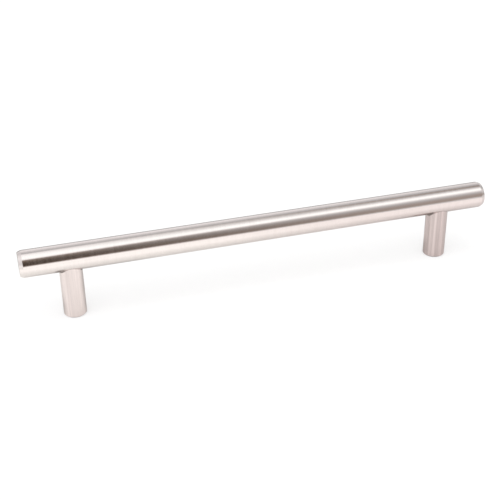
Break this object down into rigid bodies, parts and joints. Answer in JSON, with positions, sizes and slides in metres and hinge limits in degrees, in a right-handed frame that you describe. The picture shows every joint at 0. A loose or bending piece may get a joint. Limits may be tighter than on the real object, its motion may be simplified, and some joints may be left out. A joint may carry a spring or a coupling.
{
  "type": "t bar cabinet pull",
  "caption": "Round T bar cabinet pull: a straight satin bar with bevelled ends, overhanging the coped round posts that carry it, fixed by screws from behind the door.",
  "frame": {"origin": "centre of the plane that the feet stand on, midway between the posts", "axes": "+X along the bar, +Y across it, +Z away from the door or drawer front that the pull is screwed to"},
  "size_m": [0.2, 0.0112, 0.0315],
  "materials": {
    "satin_bar": "warm satin plating, brushed around the bar",
    "satin_post": "warm satin plating, brushed around the post",
    "plain_stud": "plain machined"
  },
  "bodies": {
    "root": {"bar": "satin_bar", "left_post": "satin_post", "right_post": "satin_post", "left_joining_stud": "plain_stud", "right_joining_stud": "plain_stud"}
  },
  "joints": []
}
